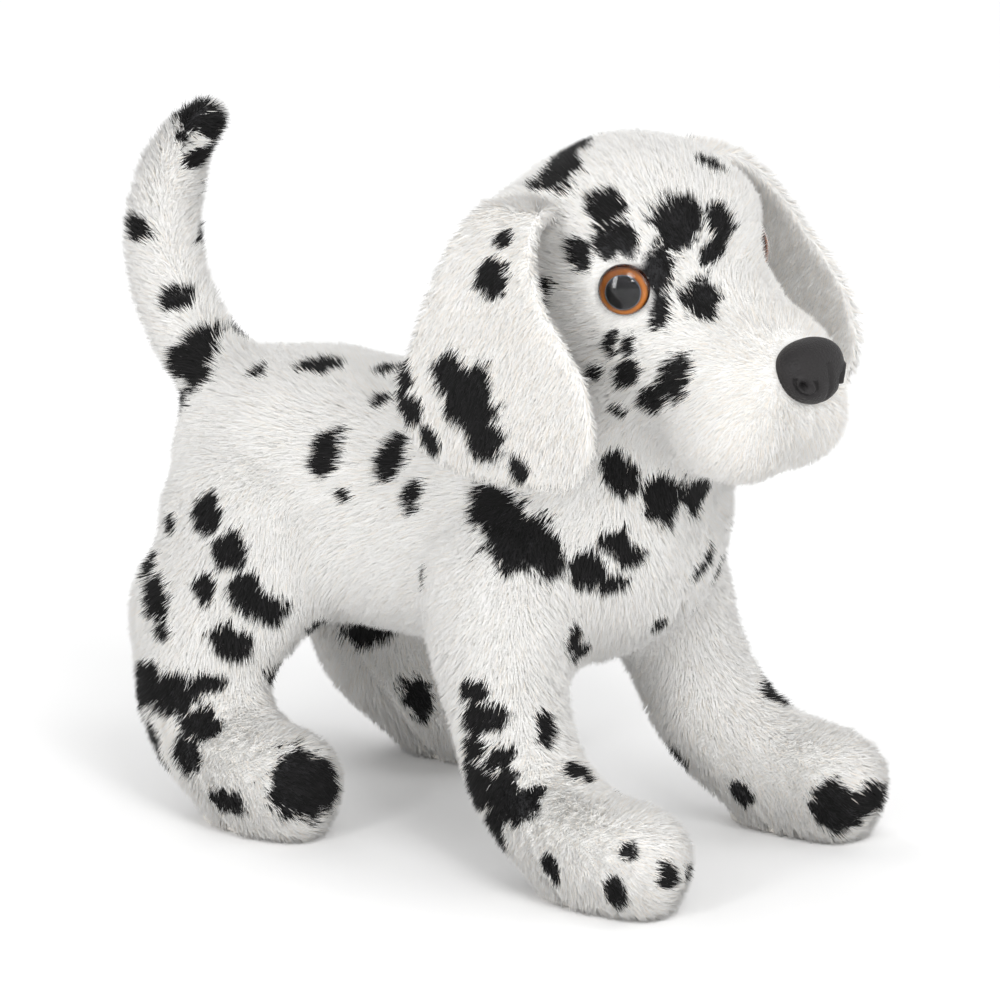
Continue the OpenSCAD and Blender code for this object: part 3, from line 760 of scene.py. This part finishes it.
# %% Grow one pile
DENSITY, ROOT = ((2.0, 0.33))      # tufts per square mm, and half a tuft's width in mm
def grow(name, body, surface, mine, direction, lean=0.80):
    """Grows tufts on the triangles of surface marked by mine."""
    mesh = surface.data
    mesh.calc_loop_triangles()
    tri = np.empty(len(mesh.loop_triangles) * 3, np.int32)
    mesh.loop_triangles.foreach_get("vertices", tri)
    tri = tri.reshape(-1, 3)
    tri = tri[mine[tri].all(1)]
    co, no = corners(mesh) / MM, normals(mesh)
    size = np.linalg.norm(np.cross(co[tri[:, 1]] - co[tri[:, 0]], co[tri[:, 2]] - co[tri[:, 0]]), axis=1) / 2
    count = int(size.sum() * DENSITY)
    pick = rng.choice(len(tri), count, p=size / size.sum())
    r1, r2 = np.sqrt(rng.random(count)), rng.random(count)
    weights = np.stack([1 - r1, r1 * (1 - r2), r1 * r2], 1)[:, :, None]
    spread = lambda values: (values[tri[pick]] * weights).sum(1)
    root, n, comb = spread(co), unit(spread(no)), spread(direction)
    length = pile_length(root, body, n)
    keep = length > 0.5
    root, n, comb, length = root[keep], n[keep], comb[keep], length[keep]
    comb = unit(comb - n * (comb * n).sum(1, keepdims=True))
    count = len(root)
    caught = np.clip(seam_gap(root, body) / 2.6, 0.42, 1)
    # tufts of one patch share a lean
    wander = np.stack([waves(root, 9, 21 + k) for k in range(3)], 1)
    cell = np.floor((root + 1.3 * wander) / 3.4).astype(np.int64)
    _, patch = np.unique(cell @ np.array([1, 4099, 16785407]), return_inverse=True)
    patch = patch.ravel()
    patches = patch.max() + 1
    sway = rng.normal(size=(patches, 3))[patch] * 0.07 + rng.normal(size=(count, 3)) * 0.13
    tall = rng.uniform(0.93, 1.06, patches)[patch] * rng.uniform(0.82, 1.08, count)
    drift = 0.10 * np.stack([waves(root, 34, 31 + k) for k in range(3)], 1)
    way = unit(n * math.cos(lean) + comb * math.sin(lean) + sway + drift)
    way = unit(way + n * np.clip(0.30 - (way * n).sum(1, keepdims=True), 0, None))
    tip = root + way * (length * caught * tall)[:, None]
    middle = np.stack([np.bincount(patch, tip[:, k], patches) for k in range(3)], 1)
    middle = middle / np.bincount(patch, minlength=patches)[:, None]
    tip += 0.12 * (middle[patch] - tip)
    # colour: chosen at the root
    edge = spotted(root, body) + rng.normal(size=count) * 0.09
    black = edge < 1
    # a few cream tufts everywhere are tint; the extra cream on the muzzle front, the ears and the paws is painted warm
    # shade for those shaded parts
    warm = 0.10 + 0.22 * (body == "head") * np.clip((-130 - root[:, 1]) / 30, 0, 1) + 0.20 * body.startswith("ear")
    warm = warm + 0.10 * body.startswith("leg") * (root[:, 2] < 60)
    pickt = rng.random(count)
    tint = np.where(pickt < warm, 3, np.where(pickt < warm + 0.25, 1, np.where(pickt < warm + 0.55, 2, 0)))
    tint = np.where(black, 4 + (rng.random(count) < 0.3), tint)
    # three sides and a tip
    side_a = unit(np.cross(way, n + 0.01))
    side_b = np.cross(way, side_a)
    turn = rng.random(count) * 2 * math.pi
    wide = ROOT * rng.uniform(0.75, 1.25, count) * np.clip(length / 8, 0.55, 1.1)
    verts, shade = np.empty((count, 4, 3)), np.empty((count, 4, 3))
    for k in range(3):
        q = turn + k * 2 * math.pi / 3
        around = side_a * np.cos(q)[:, None] + side_b * np.sin(q)[:, None]
        verts[:, k] = root - n * 0.4 + around * wide[:, None]
        shade[:, k] = unit(n + 0.35 * around)
    verts[:, 3], shade[:, 3] = tip, unit(n + 0.25 * way)
    pile = bpy.data.meshes.new(name)
    pile.vertices.add(count * 4)
    pile.vertices.foreach_set("co", (verts * MM).astype(np.float32).ravel())
    base = (np.arange(count) * 4)[:, None, None]
    faces = (base + np.array([[0, 1, 3], [1, 2, 3], [2, 0, 3]])).reshape(-1)
    pile.loops.add(len(faces))
    pile.loops.foreach_set("vertex_index", faces.astype(np.int32))
    pile.polygons.add(count * 3)
    pile.polygons.foreach_set("loop_start", (np.arange(count * 3) * 3).astype(np.int32))
    for material in WHITES + BLACKS:
        pile.materials.append(material)
    pile.polygons.foreach_set("material_index", np.repeat(tint, 3).astype(np.int32))
    pile.update(calc_edges=True)
    pile.shade_smooth()
    pile.normals_split_custom_set_from_vertices(shade.reshape(-1, 3).astype(np.float32))
    thing = bpy.data.objects.new(name, pile)
    bpy.context.scene.collection.objects.link(thing)
    print(f"{name}: {count} tufts, {int(black.sum())} black")
    return thing

# %% Grow the pile of every body
piles = {}
for i, body in enumerate(BODIES):
    mine = owner == i
    if body in ("torso", "head"):
        mine = neighbours(skin.data, neighbours(skin.data, mine))      # pile runs on under the neck seam
    cuts = {"torso": 3, "head": 2}.get(body, 1)
    edges = np.quantile(at_mm[mine][:, 1], np.linspace(0, 1, cuts + 1))
    for c in range(cuts):
        part = mine & (at_mm[:, 1] >= edges[c] - 1e-6) & (at_mm[:, 1] <= edges[c + 1] + 1e-6)
        if c:
            part = neighbours(skin.data, part) & mine
        name = f"pile_{body}" + (f"_{c + 1}" if cuts > 1 else "")
        piles.setdefault(body, []).append(grow(name, body, skin, part, lie))
for side in ("left", "right"):
    body, flap = "ear_" + side, ears[side]
    comb = averaged(flap.data, unit(combed(corners(flap.data) / MM, body)), 3)
    piles[body] = [grow("pile_" + body, body, flap, np.ones(len(comb), bool), comb, 0.95)]
print("tufts in all:", sum(len(p.data.vertices) // 4 for ps in piles.values() for p in ps))

# %% [markdown]
# ## Eyes
# A moulded safety eye is a clear cap over a painted plate on a shank. The plate's paint is worked out from the
# distance to its middle: black pupil, a thin cool ring, amber with fine streaks, a dark rim. The amber is also darker
# at the top and lighter at the bottom, on a slant: painted light and shade.

# %% Eye finishes
def eye_paint():
    f = Finish("eye_paint", roughness=0.03, specular_ior_level=0.5)
    place = f.place()
    apart = f.add("ShaderNodeSeparateXYZ", {}, {"Vector": place})
    x, y = apart, Wire(f, apart.socket.node.outputs[1])
    radius = (x * x + y * y).power(0.5) * 1000.0
    streaks = f.noise(420.0, 6.0, f.add("ShaderNodeVectorMath", {"operation": "NORMALIZE"}, {0: place}))
    # painted light: the amber is shaded towards its upper side and lit towards its lower side, on a slant
    painted_iris_light = f.add("ShaderNodeMapRange", {},
                 {"Value": x * 1000.0 - y * 1000.0, "From Min": -11.0, "From Max": 11.0})
    amber = f.mix(streaks * 0.4 + painted_iris_light * 0.6, (0.10, 0.026, 0.006, 1), (0.56, 0.18, 0.022, 1))
    edge = f.add("ShaderNodeMapRange", {"interpolation_type": "SMOOTHSTEP"},
                {"Value": radius, "From Min": 9.0, "From Max": 10.5})
    inner = f.add("ShaderNodeMapRange", {"interpolation_type": "SMOOTHSTEP"},
                 {"Value": radius, "From Min": 8.5, "From Max": 7.5})
    tone = f.mix(edge, f.mix(inner, amber, (0.16, 0.05, 0.012, 1)), (0.035, 0.010, 0.004, 1))
    tone = f.mix(radius < 7.5, tone, (0.07, 0.085, 0.10, 1))
    return f.set(base_color=f.mix(radius < 7.1, tone, (0.004, 0.004, 0.005, 1))).material

clear_cap = Finish("clear_cap", base_color=(1, 1, 1, 1), roughness=0.0, ior=1.04, transmission_weight=1.0).material
paint = eye_paint()
white_plastic = Finish("washer_plastic", roughness=0.45)
cloudy = white_plastic.noise(60.0)
white_plastic.set(base_color=white_plastic.mix(cloudy, (0.78, 0.78, 0.76, 1), (0.84, 0.84, 0.82, 1)))

# %% Eye shapes
def turned(name, outline, around=64):
    """A form turned on a lathe from (radius, height) points in mm."""
    verts, faces = [], []
    for r, h in outline:
        verts += [(r * math.cos(2 * math.pi * k / around) * MM, r * math.sin(2 * math.pi * k / around) * MM, h * MM)
                  for k in range(around)]
    for i in range(len(outline) - 1):
        faces += [(i * around + k, i * around + (k + 1) % around,
                   (i + 1) * around + (k + 1) % around, (i + 1) * around + k) for k in range(around)]
    thing = make(name, verts, faces)
    work = bmesh.new()
    work.from_mesh(thing.data)
    bmesh.ops.remove_doubles(work, verts=work.verts, dist=1e-6)
    bmesh.ops.recalc_face_normals(work, faces=work.faces)
    work.to_mesh(thing.data)
    work.free()
    thing.data.shade_smooth()
    return thing

for side, s in (("left", 1), ("right", -1)):
    stand = (Matrix.Translation(EYES[side] * MM) @ Matrix.Rotation(s * EYE_TURN, 4, "Z")
             @ Matrix.Rotation(math.pi / 2, 4, "X"))
    rise = [(10.9 * math.cos(q), 0.5 + 6.3 * math.sin(q)) for q in np.linspace(0, math.pi / 2 - 0.001, 14)]
    under = [(10.8 * math.sin(q), 5.75 * math.cos(q)) for q in np.linspace(0.1, 1.5, 12)]
    cap = turned(f"eye_{side}_cap", [(0.001, 5.75), *under, *rise])
    face = [(10.7 * math.sin(q), 5.6 * math.cos(q)) for q in np.linspace(0.0001, math.pi / 2, 24)]
    shank = [(10.9, -0.5), (10.6, -2.4), (3, -2.5), (3, -13.2), (2.6, -13.6), (0.001, -13.6)]
    plate = turned(f"eye_{side}_plate", [*face, *shank])
    cap.matrix_world = plate.matrix_world = stand
    cap.data.materials.append(clear_cap)
    plate.data.materials.append(paint)
    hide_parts(f"eye_{side}_dome")
    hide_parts(f"eye_{side}_iris")
    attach(cap, "head")
    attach(plate, "head")
    frame["nodes"][f"eye_{side}_washer"].data.materials.clear()
    frame["nodes"][f"eye_{side}_washer"].data.materials.append(white_plastic.material)
frame["nodes"]["nose_washer"].data.materials.clear()
frame["nodes"]["nose_washer"].data.materials.append(white_plastic.material)

# %% [markdown]
# ## Nose
# The nose is one moulded piece: wide and rounded on top, narrow below, with a groove down the middle
# and two comma-shaped nostrils pressed in. It starts as a ball and every corner is moved by formula.

# %% Nose
work = bmesh.new()
bmesh.ops.create_icosphere(work, subdivisions=6, radius=1)
nose_mesh = bpy.data.meshes.new("nose_piece")
work.to_mesh(nose_mesh)
work.free()
ball = corners(nose_mesh)
x, y, z = ball.T
full = lambda v, q: np.sign(v) * np.abs(v) ** q
wide = 1 + 0.16 * z - 0.12 * np.clip(-z, 0, 1) ** 2
nose_half = (nose_high - nose_low) / 2
nose_co = np.stack([full(x, 0.90) * nose_half.x * 1.047 * wide, full(y, 0.92) * 10.8 + 1.6 * z,
                    full(z, 0.88) * nose_half.z * 0.993], 1)
push = 0.9 * np.exp(-(x / 0.055) ** 2) * np.clip(-y, 0, 1) * (z < 0.35)             # the groove down the middle
for s in (-1, 1):
    c = unit(np.array([s * 0.70, -0.68, -0.16]))
    across, up = ball @ unit(np.array([s * 0.68, 0.70, 0])), ball @ unit(np.array([-s * 0.1, -0.1, 1.0]))
    a0, u0 = across - 0.02, up + 0.16
    here = (ball @ c > 0.5)
    far = np.hypot(a0, u0 * 1.15)
    push += here * (3.6 * np.exp(-((a0 - 0.10) / 0.13) ** 2 - ((u0 + 0.02) / 0.11) ** 2))   # the nostril
    push += here * 1.5 * np.exp(-((far - 0.36) / 0.055) ** 2) * (u0 < 0.16)                 # the fold around it
    push -= here * 0.9 * np.exp(-((far - 0.24) / 0.07) ** 2)
nose_co -= unit(ball) * push[:, None]
put(nose_mesh, (nose_co + np.array(NOSE)) * MM)
nose_mesh.shade_smooth()
nose = bpy.data.objects.new("nose_piece", nose_mesh)
bpy.context.scene.collection.objects.link(nose)
grain = Finish("nose_rubber", roughness=0.5, specular_ior_level=0.22)
cells = grain.add("ShaderNodeTexVoronoi", {"feature": "DISTANCE_TO_EDGE"}, {"Vector": grain.place(), "Scale": 620.0})
worn = grain.noise(160.0)
grain.set(base_color=grain.mix(worn, (0.012, 0.011, 0.0115, 1), (0.024, 0.022, 0.0225, 1)),
          roughness=worn * 0.25 + 0.40)
grain.set(normal=grain.bump(cells * 3.0 + grain.noise(1500.0) * 0.3, 0.35, 0.0005))
nose_mesh.materials.append(grain.material)
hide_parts("nose")
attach(nose, "head")

# %% [markdown]
# ## Sole panels
# Each paw is closed underneath by a sewn oval panel. It stands on the floor, slightly domed, with a
# rounded edge where the seam turns under.

# %% Soles
for leg in LEGS:
    low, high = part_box(leg + "_sole")
    mid = (low + high) / 2 / MM
    half = (high - low) * 0.37 / MM
    mid.y -= 5 if "hind" in leg else 0
    rings, verts, faces, n = 10, [], [], 56
    outline = [(0.02, 2.9), (0.5, 2.9), (0.92, 2.7), (1.0, 1.9), (1.0, 1.0),
               (0.96, 0.3), (0.85, 0.02), (0.5, 0.02), (0.02, 0.02)]
    for share_, height in outline:
        verts += [((mid.x + half.x * share_ * math.cos(2 * math.pi * k / n)) * MM,
                   (mid.y + half.y * share_ * math.sin(2 * math.pi * k / n)) * MM, height * MM) for k in range(n)]
    for i in range(len(outline) - 1):
        faces += [(i * n + k, (i + 1) * n + k, (i + 1) * n + (k + 1) % n, i * n + (k + 1) % n) for k in range(n)]
    faces += [tuple(range(n)), tuple((len(outline) - 1) * n + n - 1 - k for k in range(n))]
    panel = make("sole_" + leg, verts, faces)
    panel.data.materials.append(sole_cloth)
    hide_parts(leg + "_sole")
    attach(panel, leg)

# %% [markdown]
# ## Hinges for soft pieces
# For each limb two points are listed, where a bend across its joint would start and end. The bends are not applied:
# only the torso and head pieces are tied to their frame bodies, and the other pieces keep their place.

# %% Bend points, and the torso and head tied to the frame
def hinge(child, parent, start, end):
    """Where a bend starts and ends, in mm from the frame's joint; x is counted outwards."""
    s = -1 if "right" in child else 1
    outward = lambda step: JOINTS[child] + Vector((s * step[0], step[1], step[2]))
    return parent, outward(start), outward(end)

BENDS = {"tail": hinge("tail", "torso", (0, -2, -5), (0, 20, 29))}
for side in ("left", "right"):
    BENDS["ear_" + side] = hinge("ear_" + side, "head", (3, 0, 3), (33, -2, -11))
    BENDS["leg_front_" + side] = hinge("leg_front_" + side, "torso", (-4, 2, 21), (6, -12, -47))
    BENDS["leg_hind_" + side] = hinge("leg_hind_" + side, "torso", (-4, -4, 26), (6, 14, -50))

STANDS_FOR = {body: [body + "_skin", body + "_stuffing"] for body in BODIES}
STANDS_FOR.update({f"ear_{s}": [f"ear_{s}_outer", f"ear_{s}_lining"] for s in ("left", "right")})
for body, thing in skins.items():
    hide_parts(*STANDS_FOR[body])
    for piece in [thing, *piles[body]]:
        if body in ("torso", "head"):
            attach(piece, body)
        else:
            parent, start, end = BENDS[body]
            [c * MM for c in start]
            [c * MM for c in end]
            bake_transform(piece)
bpy.data.objects.remove(skin)
